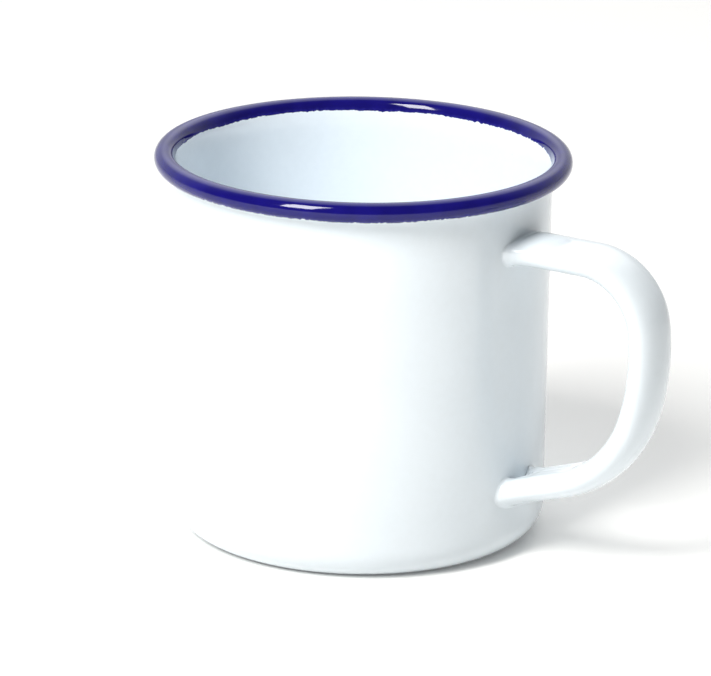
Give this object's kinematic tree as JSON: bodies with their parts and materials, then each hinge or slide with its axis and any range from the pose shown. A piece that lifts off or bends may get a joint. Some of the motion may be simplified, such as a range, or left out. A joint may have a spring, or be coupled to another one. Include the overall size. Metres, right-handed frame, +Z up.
{
  "type": "enamel mug",
  "caption": "Round white enamelled steel mug with a rolled blue rim, a hollow strap handle and a recessed base on a foot ring.",
  "frame": {"origin": "on the cup's axis, in the plane that the foot ring stands on", "axes": "+Z up along the cup's axis, +X from the axis towards the handle, +Y across the handle's width"},
  "size_m": [0.1175, 0.088, 0.0828],
  "materials": {
    "white_enamel": "high gloss fired vitreous enamel, faintly blue white",
    "blue_enamel": "high gloss fired cobalt blue enamel",
    "ground_enamel": "dark blue-black fired ground coat",
    "sheet_steel": "pickled low-carbon sheet",
    "weld_steel": "fused spot weld"
  },
  "bodies": {
    "root": {"steel_cup": "sheet_steel", "steel_handle": "sheet_steel", "upper_handle_weld": "weld_steel", "lower_handle_weld": "weld_steel", "cup_ground_coat": "ground_enamel", "handle_ground_coat": "ground_enamel", "outer_white_enamel": "white_enamel", "handle_white_enamel": "white_enamel", "inner_white_enamel": "white_enamel", "rim_blue_enamel": "blue_enamel"}
  },
  "joints": []
}
